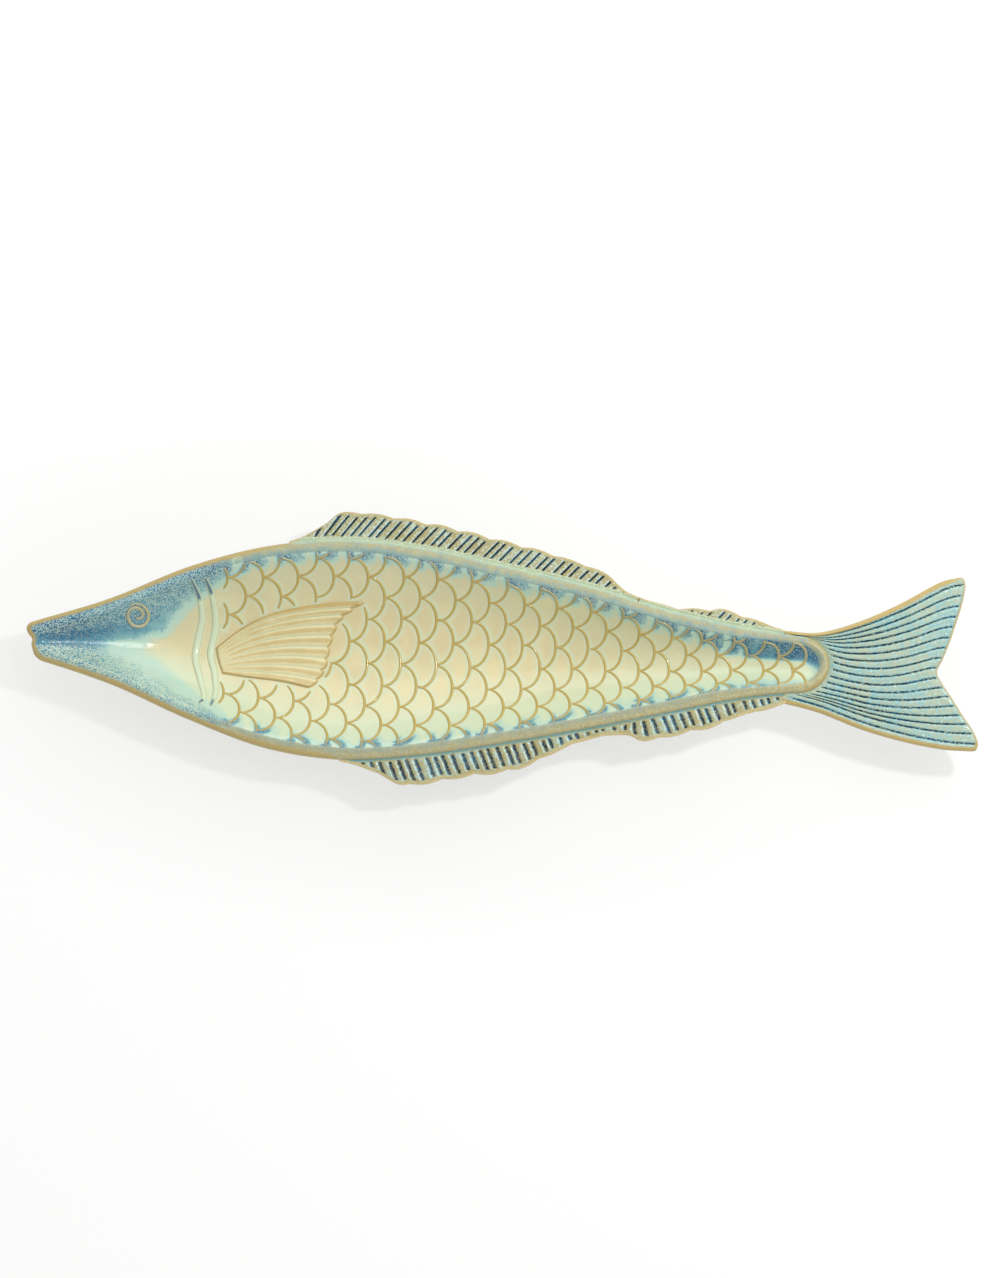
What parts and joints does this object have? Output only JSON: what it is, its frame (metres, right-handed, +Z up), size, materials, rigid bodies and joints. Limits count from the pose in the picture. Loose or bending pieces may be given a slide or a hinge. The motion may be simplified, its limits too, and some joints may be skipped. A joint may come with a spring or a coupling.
{
  "type": "fish shaped serving platter",
  "caption": "Long glazed stoneware serving platter shaped as a fish, with a trough shaped well, scale relief, ribbed fins, forked tail and a foot ring.",
  "frame": {"origin": "centre of the platter's box, on the surface that the foot ring stands on", "axes": "+X runs along the spine from the snout to the tail, +Y points to the back fin, +Z is up out of the well"},
  "size_m": [0.5624, 0.1606, 0.0365],
  "materials": {
    "glaze": "glossy reactive glaze on stoneware, cream to celadon and blue",
    "fin_glaze": "glossy reactive glaze, olive on the ribs and blue in the grooves",
    "relief_glaze": "glossy reactive glaze that breaks to ochre on raised lines",
    "bare_clay": "unglazed fired stoneware"
  },
  "bodies": {
    "root": {"dish": "glaze", "foot_ring": "bare_clay", "tail_fin": "fin_glaze", "dorsal_fin": "fin_glaze", "rear_dorsal_fin": "fin_glaze", "pelvic_fin": "fin_glaze", "anal_fin": "fin_glaze", "pectoral_fin": "relief_glaze", "front_gill_band": "relief_glaze", "rear_gill_band": "relief_glaze", "eye": "relief_glaze", "scales": "relief_glaze"}
  },
  "joints": []
}
